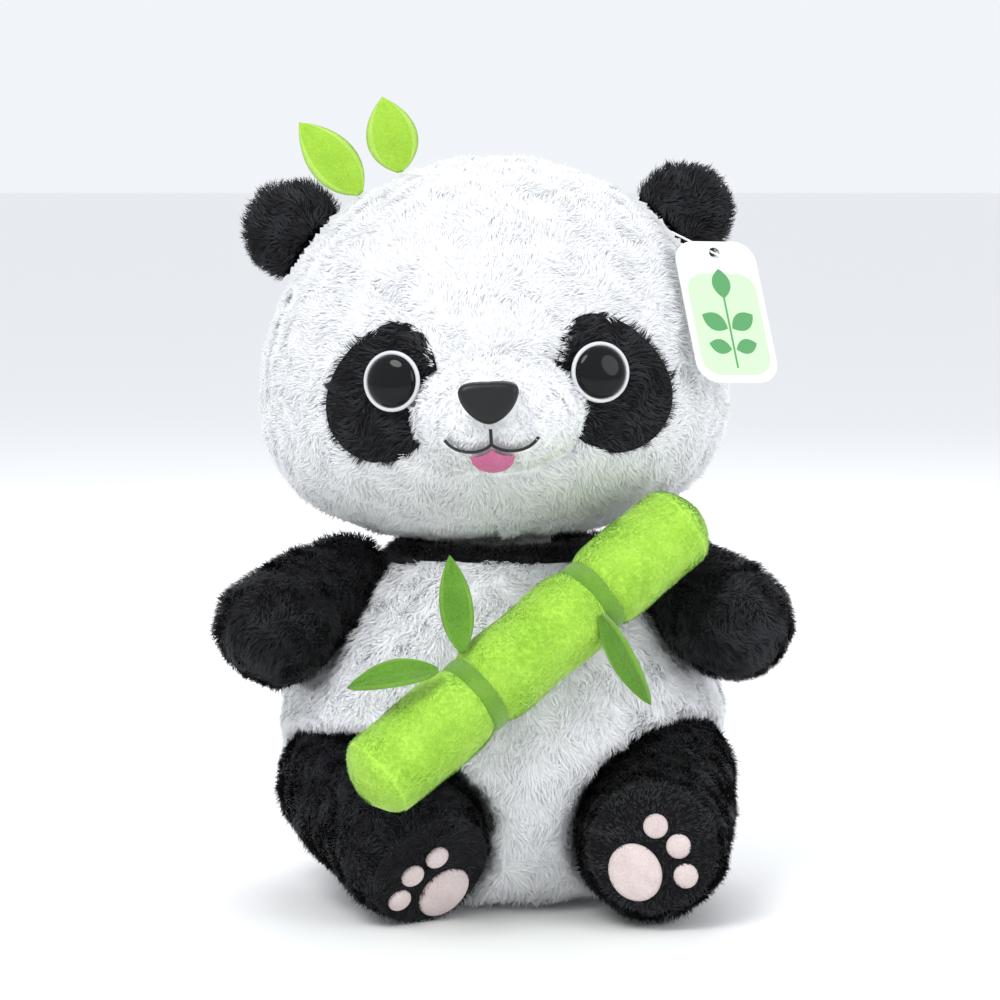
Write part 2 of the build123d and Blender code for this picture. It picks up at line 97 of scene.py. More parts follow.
def plain(name, colour, rough=0.8, sheen=0.0, spec=0.5):
    m = bpy.data.materials.new(name)
    m.use_nodes = True
    s = m.node_tree.nodes["Principled BSDF"]
    s.inputs["Base Color"].default_value = (*colour, 1)
    s.inputs["Roughness"].default_value = rough
    s.inputs["Specular IOR Level"].default_value = spec
    s.inputs["Sheen Weight"].default_value = sheen
    s.inputs["Sheen Roughness"].default_value = 0.5
    return m


feltLook = {"cloudShare": 14, "detail": 3, "darkAt": 0.36, "lightAt": 0.64, "rise": 0.0006}


def felted(name, dark, light, scale, bump, rough=0.9, sheen=0.3):
    # short cloth: two tones in small flecks over slow clouds, with a fibre bump
    m = plain(name, light, rough, sheen, 0.2)
    t = m.node_tree
    s = t.nodes["Principled BSDF"]
    where = t.nodes.new("ShaderNodeTexCoord")
    fleck = t.nodes.new("ShaderNodeTexNoise")
    fleck.inputs["Scale"].default_value = scale
    fleck.inputs["Detail"].default_value = feltLook["detail"]
    cloud = t.nodes.new("ShaderNodeTexNoise")
    cloud.inputs["Scale"].default_value = scale / feltLook["cloudShare"]
    mix = t.nodes.new("ShaderNodeMath")
    mix.operation = "ADD"
    ramp = t.nodes.new("ShaderNodeValToRGB")
    ramp.color_ramp.elements[0].position = feltLook["darkAt"]
    ramp.color_ramp.elements[0].color = (*dark, 1)
    ramp.color_ramp.elements[1].position = feltLook["lightAt"]
    ramp.color_ramp.elements[1].color = (*light, 1)
    half = t.nodes.new("ShaderNodeMath")
    half.operation = "MULTIPLY"
    half.inputs[1].default_value = 0.5
    lift = t.nodes.new("ShaderNodeBump")
    lift.inputs["Strength"].default_value = bump
    lift.inputs["Distance"].default_value = feltLook["rise"]
    for node in (fleck, cloud):
        t.links.new(where.outputs["Object"], node.inputs["Vector"])
    t.links.new(fleck.outputs["Fac"], mix.inputs[0])
    t.links.new(cloud.outputs["Fac"], mix.inputs[1])
    t.links.new(mix.outputs[0], half.inputs[0])
    t.links.new(half.outputs[0], ramp.inputs["Fac"])
    t.links.new(ramp.outputs["Color"], s.inputs["Base Color"])
    t.links.new(fleck.outputs["Fac"], lift.inputs["Height"])
    t.links.new(lift.outputs["Normal"], s.inputs["Normal"])
    return m


whiteBase = plain("white backing", (0.86, 0.87, 0.89), 0.95, 0.2, 0.1)
whiteTones = [
    plain("white pile a", (0.90, 0.905, 0.92), 0.8, 0.15, 0.2),
    plain("white pile b", (0.86, 0.87, 0.89), 0.8, 0.15, 0.2),
    plain("white pile c", (0.93, 0.935, 0.94), 0.8, 0.15, 0.2),
]
blackBase = plain("black backing", (0.006, 0.006, 0.007), 0.95, 0.1, 0.1)
blackTones = [
    plain("black pile a", (0.008, 0.008, 0.010), 0.6, 0.06, 0.22),
    plain("black pile b", (0.013, 0.013, 0.016), 0.6, 0.07, 0.22),
    plain("black pile c", (0.022, 0.023, 0.028), 0.55, 0.08, 0.25),
]
stalkBase = felted("stalk cloth", (0.32, 0.60, 0.05), (0.42, 0.72, 0.08), 900, 0.7)
stalkTones = [
    plain("stalk pile a", (0.39, 0.68, 0.065), 0.8, 0.2, 0.15),
    plain("stalk pile b", (0.43, 0.72, 0.080), 0.8, 0.2, 0.15),
    plain("stalk pile c", (0.47, 0.76, 0.100), 0.8, 0.2, 0.15),
]
leafFelt = felted("leaf felt", (0.075, 0.20, 0.014), (0.12, 0.29, 0.026), 1100, 0.7)
leafEdge = felted("leaf edge stitch", (0.12, 0.27, 0.024), (0.17, 0.36, 0.040), 1500, 0.8)
sproutFelt = felted("sprout felt", (0.27, 0.50, 0.035), (0.36, 0.62, 0.055), 1100, 0.7)
sproutEdge = felted("sprout edge stitch", (0.38, 0.62, 0.09), (0.46, 0.70, 0.13), 1500, 0.8)
padCloth = felted("pad cloth", (0.56, 0.46, 0.45), (0.72, 0.62, 0.61), 1300, 0.5)
tongueFelt = felted("tongue felt", (0.50, 0.10, 0.24), (0.66, 0.17, 0.34), 1500, 0.6)
threadDark = plain("dark thread", (0.015, 0.014, 0.015), 0.6, 0.2, 0.3)
nosePlastic = plain("nose plastic", (0.010, 0.010, 0.011), 0.36, 0, 0.3)
eyeBlack = plain("eye black", (0.003, 0.003, 0.004), 0.08, 0, 0.22)
eyeWhite = plain("eye rim", (0.60, 0.61, 0.63), 0.4)
cardWhite = plain("card", (0.86, 0.87, 0.86), 0.4)
cardGreen = plain("print pale green", (0.52, 0.72, 0.46), 0.4)
cardDark = plain("print dark green", (0.08, 0.30, 0.10), 0.4)
pinClear = plain("clear nylon", (0.85, 0.86, 0.87), 0.3)
ribbon = felted("label ribbon", (0.74, 0.74, 0.75), (0.82, 0.82, 0.83), 2500, 0.4)
print("materials")


def paint(material, *nodes):
    # a CAD piece that is shown as it is gets its finish
    for node in nodes:
        shown = bpy.data.objects[node]
        shown.data.materials.clear()
        shown.data.materials.append(material)


# shapes

def corners(*nodes):
    boxes = [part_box(n) for n in nodes]
    low = np.min([np.array(b[0]) for b in boxes], axis=0)
    high = np.max([np.array(b[1]) for b in boxes], axis=0)
    return low, high


def meshed(name, points, faces, material, body, closed=True):
    data = bpy.data.meshes.new(name)
    data.from_pydata([tuple(p) for p in points], [], faces)
    data.materials.append(material)
    data.update()
    made = bpy.data.objects.new(name, data)
    bpy.context.collection.objects.link(made)
    if closed:
        b = bmesh.new()
        b.from_mesh(data)
        bmesh.ops.recalc_face_normals(b, faces=b.faces)
        b.to_mesh(data)
        b.free()
    data.shade_smooth()
    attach(made, body)
    return made


def turned(profile, around):
    # points and faces of an outline of (radius, height) turned about Z, with a single point at each pole
    spin = np.linspace(0, 2 * math.pi, around, endpoint=False)
    rings = [
        np.stack([r * np.cos(spin), r * np.sin(spin), np.full(around, z)], 1) for r, z in profile[1:-1]
    ]
    points = np.vstack([[[0, 0, profile[0][1]]], *rings, [[0, 0, profile[-1][1]]]])
    faces = []
    count = len(rings)
    for i in range(around):
        j = (i + 1) % around
        faces.append((0, 1 + i, 1 + j))
        for k in range(count - 1):
            a, b = 1 + k * around, 1 + (k + 1) * around
            faces.append((a + i, b + i, b + j, a + j))
        last = 1 + (count - 1) * around
        faces.append((last + i, len(points) - 1, last + j))
    return points, faces


def bezier(a, b, c, d, count):
    t = np.linspace(0, 1, count)[:, None]
    a, b, c, d = (np.array(p, float) for p in (a, b, c, d))
    return (1 - t) ** 3 * a + 3 * (1 - t) ** 2 * t * b + 3 * (1 - t) * t * t * c + t ** 3 * d


def bunProfile(half, up, down, top, low, flat=0.0, count=46):
    reach = flat + low * (half - flat)
    upper = bezier((0, up), (top * half, up), (half, top * up), (half, 0), count)
    lower = bezier((half, 0), (half, -low * down), (reach, -down), (flat, -down), count)
    rows = list(upper) + list(lower[1:])
    if flat:
        rows += [np.array((r, -down)) for r in np.linspace(flat, 0, 8)[1:]]
    return rows


waves = np.random.default_rng(7)
waveWays = waves.normal(size=(10, 3))
waveWays /= np.linalg.norm(waveWays, axis=1)[:, None]
wavePhases = waves.uniform(0, 6.28, 10)


def lumps(points, size, salt=0.0):
    # slow hills and hollows between -1 and 1, about size metres across
    total = np.zeros(len(points))
    for k in range(10):
        rate = 2 * math.pi / (size * (0.8 + 0.09 * k))
        total += np.sin(points @ waveWays[k] * rate + wavePhases[k] + salt * (k + 1))
    return total / 3.2


def keepFaces(points, faces, keep):
    # the faces whose corners are all kept, with the unused points dropped
    used = [f for f in faces if all(keep[i] for i in f)]
    index = sorted({i for f in used for i in f})
    new = {old: k for k, old in enumerate(index)}
    return points[index], [tuple(new[i] for i in f) for f in used]


def matrixOf(place, x, y, z):
    m = Matrix.Identity(4)
    for c, axis in enumerate((x, y, z)):
        for r in range(3):
            m[r][c] = axis[r]
    for r in range(3):
        m[r][3] = place[r]
    return m


def moved(points, m):
    m = np.array(m)
    return points @ m[:3, :3].T + m[:3, 3]


fibre = felted("filling fibre", (0.62, 0.62, 0.62), (0.78, 0.78, 0.77), 700, 0.8)


def filling(skin, node, body, inset=0.0016):
    # the fibre inside a skin, drawn in from it and lumpier
    data = skin.data.copy()
    inner = bpy.data.objects.new(node, data)
    inner.name = f"{node}_fibre"
    bpy.context.collection.objects.link(inner)
    inner.matrix_world = skin.matrix_world
    points = np.empty(len(data.vertices) * 3)
    data.vertices.foreach_get("co", points)
    normals = np.empty(len(data.vertices) * 3)
    data.vertices.foreach_get("normal", normals)
    points, normals = points.reshape(-1, 3), normals.reshape(-1, 3)
    points = points - normals * (inset + 0.0004 * np.abs(lumps(points, 0.02, 12.0)))[:, None]
    data.vertices.foreach_set("co", points.reshape(-1))
    data.materials.clear()
    data.materials.append(fibre)
    data.update()
    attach(inner, body)
    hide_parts(node)
    return inner


# pile

strand = {
    "most": 66000,        # in one mesh
    "sink": 0.0004,       # its root, under the backing
    "table": 0.0002,      # no strand goes lower than this
    "first": 0.5,         # shares of its length, before and after its bend
    "second": 0.55,
    "taper": 0.8,
}


def pile(skin, name, body, tones, spec, comb, bare=None):
    # strands rooted on skin: spec gives length, width, per square metre, lift 0 flat to 1 upright, and clump
    data = skin.data
    data.calc_loop_triangles()
    world = np.array(skin.matrix_world)
    co = np.empty(len(data.vertices) * 3)
    data.vertices.foreach_get("co", co)
    co = moved(co.reshape(-1, 3), world)
    no = np.empty(len(data.vertices) * 3)
    data.vertices.foreach_get("normal", no)
    no = no.reshape(-1, 3) @ world[:3, :3].T
    tri = np.empty(len(data.loop_triangles) * 3, int)
    data.loop_triangles.foreach_get("vertices", tri)
    tri = tri.reshape(-1, 3)
    p = co[tri]
    size = np.linalg.norm(np.cross(p[:, 1] - p[:, 0], p[:, 2] - p[:, 0]), axis=1) / 2
    rng = np.random.default_rng(spec.get("seed", 3))
    count = int(size.sum() * spec["per"])
    which = rng.choice(len(tri), count, p=size / size.sum())
    u, v = rng.random(count), rng.random(count)
    flip = u + v > 1
    u[flip], v[flip] = 1 - u[flip], 1 - v[flip]
    weights = np.stack([1 - u - v, u, v], 1)
    root = (p[which] * weights[:, :, None]).sum(1)
    normal = (no[tri[which]] * weights[:, :, None]).sum(1)
    normal /= np.linalg.norm(normal, axis=1)[:, None] + 1e-12
    if bare is not None:
        keep = ~bare(root)
        root, normal = root[keep], normal[keep]
    n = len(root)
    way = comb(root)
    way = way - normal * (way * normal).sum(1)[:, None]
    way /= np.linalg.norm(way, axis=1)[:, None] + 1e-9
    across = np.cross(normal, way)
    clump = spec["clump"]
    swirl = 1.5 * lumps(root, clump) + 0.7 * lumps(root, clump * 0.45, 2.0) + rng.normal(0, 0.35, n)
    swirl *= spec.get("mess", 0.55)
    lay = way * np.cos(swirl)[:, None] + across * np.sin(swirl)[:, None]
    lift = np.clip(spec["lift"] + 0.16 * lumps(root, clump * 0.7, 5.0) + rng.normal(0, 0.10, n), 0.12, 1)
    first = normal * (lift + 0.25)[:, None] + lay * (1 - lift)[:, None]
    first /= np.linalg.norm(first, axis=1)[:, None]
    second = normal * (lift * 0.55)[:, None] + lay * (1.15 - lift)[:, None] + rng.normal(0, 0.12, (n, 3))
    second /= np.linalg.norm(second, axis=1)[:, None]
    length = spec["length"] * (0.8 + 0.16 * lumps(root, clump * 0.9, 9.0) + rng.normal(0, 0.13, n))
    length = np.clip(length, 0.35 * spec["length"], 1.35 * spec["length"])[:, None]
    side = np.cross(normal, lay) + rng.normal(0, 0.25, (n, 3))
    side /= np.linalg.norm(side, axis=1)[:, None]
    facing = (np.cross(side, first) * normal).sum(1)[:, None]
    side = np.where(facing < 0, -side, side)
    half = spec["width"] / 2 * rng.uniform(0.7, 1.25, n)[:, None]
    low = root - normal * strand["sink"]
    middle = root + first * length * strand["first"]
    tip = middle + second * length * strand["second"]
    bent = side * half * strand["taper"]
    points = np.stack([low - side * half, low + side * half, middle + bent, middle - bent, tip], 1)
    points[:, :, 2] = np.maximum(points[:, :, 2], strand["table"])
    soft = normal + first * 0.2 + rng.normal(0, 0.09, (n, 3))
    soft /= np.linalg.norm(soft, axis=1)[:, None]
    mark = np.clip((lumps(root, clump * 0.8, 3.0) + rng.normal(0, 0.6, n)) * 0.5 + 0.5, 0, 0.999)
    mark = (mark * len(tones)).astype(int)
    share = np.array_split(np.arange(n), max(1, math.ceil(n / strand["most"])))
    for h, mine in enumerate(share):
        k = len(mine)
        verts = points[mine].reshape(-1, 3)
        base = np.arange(k)[:, None] * 5
        loops = np.concatenate([base + k for k in (0, 1, 2, 3, 3, 2, 4)], 1).reshape(-1)
        starts = (np.arange(k)[:, None] * 7 + np.array([0, 4])).reshape(-1)
        mesh = bpy.data.meshes.new(f"{name}_{h + 1}")
        mesh.vertices.add(k * 5)
        mesh.vertices.foreach_set("co", verts.reshape(-1))
        mesh.loops.add(k * 7)
        mesh.loops.foreach_set("vertex_index", loops.astype(np.int32))
        mesh.polygons.add(k * 2)
        mesh.polygons.foreach_set("loop_start", starts.astype(np.int32))
        for tone in tones:
            mesh.materials.append(tone)
        mesh.polygons.foreach_set("material_index", np.repeat(mark[mine], 2).astype(np.int32))
        mesh.update(calc_edges=True)
        mesh.shade_smooth()
        mesh.normals_split_custom_set_from_vertices(np.repeat(soft[mine], 5, axis=0))
        made = bpy.data.objects.new(f"{name}_{h + 1}", mesh)
        bpy.context.collection.objects.link(made)
        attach(made, body)


longWhite = {"length": 0.0050, "width": 0.00040, "per": 2200000, "lift": 0.30, "clump": 0.014}
longBlack = {"length": 0.0048, "width": 0.00042, "per": 1700000, "lift": 0.42, "clump": 0.012}
shortGreen = {"length": 0.0014, "width": 0.00028, "per": 3600000, "lift": 0.32, "clump": 0.02, "mess": 0.35}
under = 0.0026    # how far a backing lies inside its CAD skin, for the pile to stand in


# head

head = {
    "middle": (-0.003, -0.005, 0.200),
    "roll": 2.5,
    "yaw": 2,
    "half": 0.0965,
    "up": 0.0985,
    "down": 0.059,
    "fullness": (0.55, 0.68),
    "squeeze": 0.86,
    "around": 144,
    "dent": (0.0006, 0.05),         # depth, and how far apart
    "seam": (0.0009, 0.0016),       # depth, width
    "seamBare": 0.0005,
    "cheek": (0.0012, 0.068, -0.022),
    "neckHole": 0.026,
    "neckBare": 0.030,
    "fill": 0.9,
}
sewnAside = {"face": 0.004, "nose": 0.002}    # to its left: eyes and muzzle, then nose and mouth
headPlace = (
    Matrix.Translation(head["middle"])
    @ Matrix.Rotation(-math.radians(head["roll"]), 4, "Y")
    @ Matrix.Rotation(-math.radians(head["yaw"]), 4, "Z")
)
headInverse = np.array(headPlace.inverted())
squeeze, faceShift, noseShift = head["squeeze"], sewnAside["face"], sewnAside["nose"]


def headProfile(grow):
    return bunProfile(head["half"] + grow, head["up"] + grow, head["down"] + grow, *head["fullness"])


def headShape(grow):
    points, faces = turned(headProfile(grow), head["around"])
    points[:, 1] *= squeeze
    return points, faces


def headLevel(points, grow=0.0):
    # below 1 inside the head grown by grow, from points in the row frame
    p = moved(points, headInverse)
    rows = np.array(headProfile(grow))
    around = np.hypot(p[:, 0], p[:, 1] / squeeze)
    reach = np.interp(-p[:, 2], -rows[:, 1], rows[:, 0], left=0, right=0)
    return around / np.maximum(reach, 1e-6)


muzzleBall = {
    "depth": -0.073,
    "level": -0.001,
    "radius": 0.036,
    "height": 0.0255,
    "under": 0.0022,
    "crease": (0.0016, 0.004),
    "eyeGap": 0.0125,
    "pile": {"seed": 17, "length": 0.0042, "width": 0.0005, "per": 1100000, "clump": 0.010},
    "fill": 0.8,
}
muzzleMiddle = headPlace @ Vector((faceShift, muzzleBall["depth"], muzzleBall["level"]))
patchCut = {
    "across": 0.0215,
    "belly": 0.0035,       # wider below its middle than above
    "tall": 0.0285,
    "out": 0.044,
    "level": 0.008,
    "tilt": 24,
    "lift": 0.0012,
    "rings": 22,
    "around": 96,
    "eyeBare": 0.0112,
    "pile": {"length": 0.0045, "per": 1000000},
}
eyeBoxes = {s: corners(f"eye_ring_{s}") for s in ("right", "left")}
eyePlaces = {s: (b[0] + b[1]) / 2 for s, b in eyeBoxes.items()}


def patchWidth(b):
    return patchCut["across"] + patchCut["belly"] * np.clip(-b / 0.028, -1, 1)


def patchLevel(local, s):
    # below 1 inside the eye patch outline, from head coordinates
    tilt = math.radians(patchCut["tilt"])
    x = local[:, 0] - faceShift - s * patchCut["out"]
    z = local[:, 2] - patchCut["level"]
    a = x * math.cos(tilt) + s * z * math.sin(tilt)
    b = -s * x * math.sin(tilt) + z * math.cos(tilt)
    return np.hypot(a / patchWidth(b), b / patchCut["tall"]) + 5 * (local[:, 1] > 0)


def combHead(root):
    # away from the nose over the face, then back and down
    centre = np.array(headPlace @ Vector((0, -0.09, 0.005)))
    away = root - centre
    away /= np.linalg.norm(away, axis=1)[:, None]
    return away + np.array([0, 0.5, -0.55])


points, faces = headShape(-under)
dent = head["dent"][0] * lumps(points, head["dent"][1])
seam = np.exp(-((points[:, 0] / head["seam"][1]) ** 2)) * head["seam"][0]
out = points / (np.linalg.norm(points, axis=1)[:, None] + 1e-9)
swell, cheekOut, cheekLevel = head["cheek"]
toCheek = ((np.abs(points[:, 0]) - cheekOut) / 0.03) ** 2 + ((points[:, 2] - cheekLevel) / 0.028) ** 2
cheek = np.exp(-toCheek) * swell
onFace = np.minimum(patchLevel(points, -1), patchLevel(points, 1))
free = np.clip((onFace - 1.0) / 0.35, 0, 1)    # the cloth lies flat under the eye patches
points = points + out * ((dent + cheek) * free - seam)[:, None]
hole = (points[:, 2] < -0.02) & (np.hypot(points[:, 0] - 0.002, points[:, 1] + 0.001) < head["neckHole"])
points, faces = keepFaces(points, faces, ~hole)
headSkin = meshed("head_skin", moved(points, headPlace), faces, whiteBase, "head")
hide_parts("head_panel_right", "head_panel_left")
filling(headSkin, "head_stuffing", "head")


def muzzleLevel(local, thinner, lower):
    # below 1 inside the muzzle, taken in by thinner and lower
    away = np.hypot(local[:, 0] - faceShift, local[:, 1] - muzzleBall["depth"])
    level = local[:, 2] - muzzleBall["level"]
    return np.hypot(away / (muzzleBall["radius"] - thinner), level / (muzzleBall["height"] - lower))


def bareHead(root):
    local = moved(root, headInverse)
    neck = (local[:, 2] < -0.02) & (np.hypot(local[:, 0], local[:, 1]) < head["neckBare"])
    patches = (patchLevel(local, -1) < 0.97) | (patchLevel(local, 1) < 0.97)
    seamLine = np.abs(local[:, 0]) < head["seamBare"]
    return neck | patches | (muzzleLevel(local, 0.001, 0.001) < 1) | seamLine


pile(headSkin, "head_pile", "head", whiteTones, dict(longWhite, seed=11), combHead, bareHead)
print("head")

for side, s in (("right", -1), ("left", 1)):
    rows = np.array(headProfile(patchCut["lift"] - under))
    ring, rings = patchCut["around"], patchCut["rings"]
    spin = np.linspace(0, 2 * math.pi, ring, endpoint=False)
    tilt = math.radians(patchCut["tilt"])
    points = []
    for share in np.linspace(0.02, 1, rings):
        b = patchCut["tall"] * share * np.sin(spin)
        a = patchWidth(b) * share * np.cos(spin)
        x = faceShift + s * patchCut["out"] + a * math.cos(tilt) - s * b * math.sin(tilt)
        z = patchCut["level"] + s * a * math.sin(tilt) + b * math.cos(tilt)
        reach = np.interp(-z, -rows[:, 1], rows[:, 0])
        y = -squeeze * np.sqrt(np.maximum(reach ** 2 - x ** 2, 0))
        points.append(np.stack([x, y, z], 1))
    points = np.vstack(points)
    faces = [
        (k * ring + i, (k + 1) * ring + i, (k + 1) * ring + (i + 1) % ring, k * ring + (i + 1) % ring)
        for k in range(rings - 1) for i in range(ring)
    ] + [tuple(range(ring))]
    points, faces = keepFaces(points, faces, muzzleLevel(points, 0.0025, 0.0025) >= 1)
    patch = meshed(f"eye_cloth_{side}", moved(points, headPlace), faces, blackBase, "head")
    turnedIn = sum((patch.data.polygons[k].normal.y > 0) for k in range(0, len(patch.data.polygons), 7))
    if turnedIn > len(patch.data.polygons) / 14:
        patch.data.flip_normals()
    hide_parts(f"eye_patch_{side}")
    eye = np.array(eyePlaces[side])

    def barePatch(root, eye=eye):
        return np.linalg.norm(root - eye, axis=1) < patchCut["eyeBare"]

    pile(patch, f"eye_patch_pile_{side}", "head", blackTones,
         dict(longBlack, seed=12 + s, **patchCut["pile"]), combHead, barePatch)

mouthLines = [
    bezier((0, -0.0055), (0, -0.008), (0, -0.010), (0, -0.0115), 8),
    bezier((0, -0.0115), (0.004, -0.0155), (0.014, -0.016), (0.018, -0.0095), 20),
    bezier((0, -0.0115), (-0.004, -0.0155), (-0.014, -0.016), (-0.018, -0.0095), 20),
]
mouthPoints = np.vstack(mouthLines) + np.array([noseShift, 0])


def muzzleShape(grow):
    angle = np.linspace(math.pi / 2, -math.pi / 2, 50)
    wide, tall = muzzleBall["radius"] + grow, muzzleBall["height"] + grow
    profile = [(wide * math.cos(a), tall * math.sin(a)) for a in angle]
    points, faces = turned(profile, 96)
    points[:, 1] *= squeeze
    x, z = points[:, 0] + faceShift - noseShift, points[:, 2]
    # a soft crease from the nose down parts it in two
    deep, wide = muzzleBall["crease"]
    crease = deep * np.exp(-((x / wide) ** 2)) * (z < 0.002) * (points[:, 1] < 0)
    points[:, 1] += crease
    return points, faces


points, faces = muzzleShape(-muzzleBall["under"])
where = moved(points, Matrix.Translation(muzzleMiddle) @ headPlace.to_3x3().to_4x4())
outside = headLevel(where, -0.001) > 1
toEyes = [np.linalg.norm(where - np.array(eyePlaces[side]), axis=1) for side in ("right", "left")]
eyesAway = np.min(toEyes, axis=0) > muzzleBall["eyeGap"]
points, faces = keepFaces(where, faces, outside & eyesAway)
muzzle = meshed("muzzle", points, faces, whiteBase, "head")
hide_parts("muzzle_panel")
filling(muzzle, "muzzle_stuffing", "head")


def bareMuzzle(root):
    local = moved(root, headInverse)
    flat = local[:, [0, 2]]
    toMouth = np.min(np.linalg.norm(flat[:, None, :] - mouthPoints[None, :, :], axis=2), axis=1)
    side, level, front = flat[:, 0] - noseShift, flat[:, 1], local[:, 1] < -0.08
    nose = (np.hypot(side / 0.0108, (level - 0.0052) / 0.0078) < 1) & (local[:, 1] < -0.09)
    tongue = (np.abs(side) < 0.0075) & (level < -0.0148) & (level > -0.0235) & front
    return ((toMouth < 0.0011) & front) | nose | tongue


pile(muzzle, "muzzle_pile", "head", whiteTones,
     dict(longWhite, **muzzleBall["pile"]), combHead, bareMuzzle)
print("face")

paint(eyeBlack, "eye_stud_right", "eye_lens_right", "eye_stud_left", "eye_lens_left")
paint(eyeWhite, "eye_ring_right", "eye_ring_left")
paint(nosePlastic, "nose")
paint(threadDark, "mouth_thread")
paint(tongueFelt, "tongue")
paint(cardWhite, "tag_card")
paint(pinClear, "tag_pin")

ears = {
    "radius": 0.0195,
    "half": 0.0072,
    "hollow": (0.0035, 0.011),      # depth, width
    "place": (0.080, 0.008, 0.0706),
    "fill": 0.5,
}
for side, s in (("right", -1), ("left", 1)):
    angle = np.linspace(math.pi / 2, -math.pi / 2, 30)
    points, faces = turned([(ears["radius"] * math.cos(a), ears["half"] * math.sin(a)) for a in angle], 72)
    points = points[:, [0, 2, 1]]
    front = points[:, 1] < 0
    deep, wide = ears["hollow"]
    points[front, 1] += deep * np.exp(-(np.hypot(points[front, 0], points[front, 2]) / wide) ** 2)
    points += np.array([s * ears["place"][0], ears["place"][1], ears["place"][2]])
    where = moved(points, headPlace)
    points, faces = keepFaces(where, faces, headLevel(where, 0.0022) > 1)
    ear = meshed(f"ear_plush_{side}", points, faces, blackBase, f"ear_flap_{side}")
    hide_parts(f"ear_{side}")
    middle = np.array(headPlace @ Vector((s * 0.07, 0.008, 0.06)))
    pile(ear, f"ear_pile_{side}", f"ear_flap_{side}", blackTones, dict(longBlack, seed=21 + s),
         lambda root, middle=middle: root - middle)
print("ears")


# torso

torso = {
    "middle": (0, -0.008, 0.066),
    "half": 0.0935,
    "up": 0.099,
    "down": 0.0655,
    "fullness": (0.33, 0.60),
    "seat": 0.050,
    "rows": 54,
    "around": 144,
    "armRoom": (0.0205, 0.0385),
    "legRoom": (0.0325, 0.0440),
    "armSwing": 12.5,       # degrees to the middle of each travel
    "legSwing": 10,
    "dishMiddle": (-0.003, -0.005, 0.344),
    "dish": 0.2078,
    "swell": 0.0009,
    "yoke": (-0.112, 0.250),        # level of its middle, radius
    "fill": 0.85,
}
torsoMiddle = np.array(torso["middle"])


def roomLevel(points, start, end, radii):
    # below 1 inside the tapered room a limb moves in
    run = np.array(end) - np.array(start)
    long = np.linalg.norm(run)
    t = np.clip((points - np.array(start)) @ run / long ** 2, 0, 1)
    near = np.array(start) + t[:, None] * run
    return np.linalg.norm(points - near, axis=1) / (radii[0] + (radii[1] - radii[0]) * t)


shoulders = {"right": np.array((-0.064, -0.021, 0.1275)), "left": np.array((0.065, -0.021, 0.132))}
paws = {"right": np.array((-0.090, -0.052, 0.111)), "left": np.array((0.092, -0.052, 0.113))}
hips = {"right": np.array((-0.062, -0.040, 0.045)), "left": np.array((0.066, -0.040, 0.047))}
feet = {"right": np.array((-0.036, -0.088, 0.0305)), "left": np.array((0.059, -0.090, 0.031))}


def swung(start, end, axis, degrees):
    return Vector(start) + Matrix.Rotation(math.radians(degrees), 3, axis) @ Vector(end - start)


torsoProfile = bunProfile(
    torso["half"] - under, torso["up"] - under, torso["down"],
    *torso["fullness"], torso["seat"], torso["rows"]
)
points, faces = turned(torsoProfile, torso["around"])
points = points + torsoMiddle
radial = (points - torsoMiddle) / (np.linalg.norm(points - torsoMiddle, axis=1)[:, None] + 1e-9)
rooms = []
for side, s in (("right", -1), ("left", 1)):
    armEnd = swung(shoulders[side], paws[side], "Y", -s * torso["armSwing"])
    legEnd = swung(hips[side], feet[side], "Z", s * torso["legSwing"])
    rooms.append((shoulders[side], armEnd, torso["armRoom"]))
    rooms.append((hips[side], legEnd, torso["legRoom"]))
for start, end, radii in rooms:
    for step in range(60):
        inside = roomLevel(points, start, end, radii) < 1
        points[inside] -= radial[inside] * 0.001
dishMiddle = np.array(torso["dishMiddle"])
away = points - dishMiddle
far = np.linalg.norm(away, axis=1)
sunk = far < torso["dish"]
points[sunk] = dishMiddle + away[sunk] / far[sunk][:, None] * torso["dish"]
flat = points[:, 2] < 0.0005
swell = torso["swell"] * lumps(points, 0.06, 1.0) * (~flat)
points = points + radial * swell[:, None]
points[:, 2] = np.maximum(points[:, 2], 0.0002)
wholeTorso = meshed("torso_whole", points, faces, whiteBase, "torso")
filling(wholeTorso, "torso_stuffing", "torso", 0.0020)
bpy.data.objects.remove(wholeTorso)


yokeLevel, yokeRadius = torso["yoke"]
yoke = np.hypot(points[:, 0], points[:, 2] - yokeLevel) > yokeRadius
whitePart = keepFaces(points, faces, ~yoke)
blackFaces = [f for f in faces if any(yoke[i] for i in f)]
index = sorted({i for f in blackFaces for i in f})
new = {old: k for k, old in enumerate(index)}
blackPart = (points[index], [tuple(new[i] for i in f) for f in blackFaces])
torsoSkin = meshed("torso_skin", *whitePart, whiteBase, "torso")
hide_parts("belly_panel", "back_panel", "base_panel")
yokeSkin = meshed("yoke_skin", *blackPart, blackBase, "torso")
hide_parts("yoke_front", "yoke_back")


def down(root):
    return np.tile(np.array([0.0, 0.05, -1.0]), (len(root), 1))


pile(torsoSkin, "torso_pile", "torso", whiteTones, dict(longWhite, seed=31), down,
     lambda root: (root[:, 2] < 0.004) | (np.abs(root[:, 0]) < 0.0003) & (root[:, 1] < 0))
pile(yokeSkin, "yoke_pile", "torso", blackTones, dict(longBlack, seed=32, length=0.005), down)

